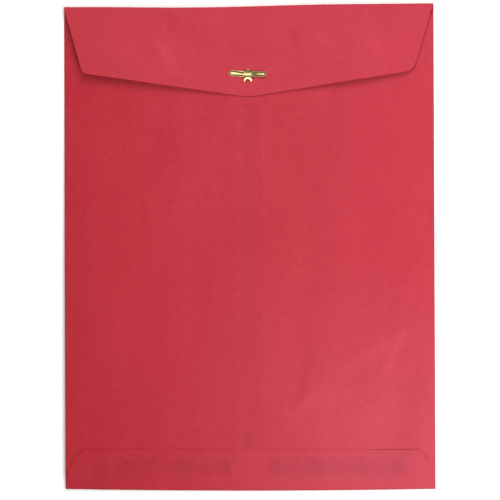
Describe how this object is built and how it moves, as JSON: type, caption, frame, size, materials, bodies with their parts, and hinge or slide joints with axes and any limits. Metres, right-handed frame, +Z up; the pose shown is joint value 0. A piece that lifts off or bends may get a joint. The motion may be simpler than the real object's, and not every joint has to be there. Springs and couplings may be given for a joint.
{
  "type": "clasp envelope",
  "caption": "Open-end red paper envelope with a centre seam, a hinged closure flap and a two-pronged brass clasp that holds the flap shut.",
  "frame": {"origin": "middle of the envelope's box, on the surface that its front panel lies on", "axes": "+Z up out of the back with the clasp, +Y towards the fold of the closure flap, +X to the right seen from above"},
  "size_m": [0.254, 0.3302, 0.0096],
  "materials": {
    "paper": "matte",
    "patch": "matte",
    "glue": "satin",
    "gum": "satin",
    "brass": "satin"
  },
  "bodies": {
    "envelope": {"front_panel": "paper", "left_side_panel": "paper", "right_side_panel": "paper", "seam_glue": "glue", "bottom_flap": "paper", "bottom_glue_left": "glue", "bottom_glue_right": "glue", "fold_band": "paper", "clasp_base": "brass"},
    "flap": {"closure_flap": "paper", "flap_hole_patch": "patch", "flap_gum_left": "gum", "flap_gum_right": "gum"},
    "prong_left": {"clasp_prong_left": "brass"},
    "prong_right": {"clasp_prong_right": "brass"}
  },
  "joints": [
    {"name": "flap_hinge", "type": "hinge", "parent": "envelope", "child": "flap", "pos_m": [0, 0.1635, 0.00321], "axis": [-1, 0, 0], "range_deg": [0, 174], "deforming": ["fold_band"]},
    {"name": "prong_left_bend", "type": "hinge", "parent": "envelope", "child": "prong_left", "pos_m": [-0.00255, 0.11795, 0.00728], "axis": [0.0837, 0.9965, 0], "range_deg": [0, 90]},
    {"name": "prong_right_bend", "type": "hinge", "parent": "envelope", "child": "prong_right", "pos_m": [0.00325, 0.11795, 0.00728], "axis": [-0.0175, -0.9998, 0], "range_deg": [0, 90]}
  ]
}
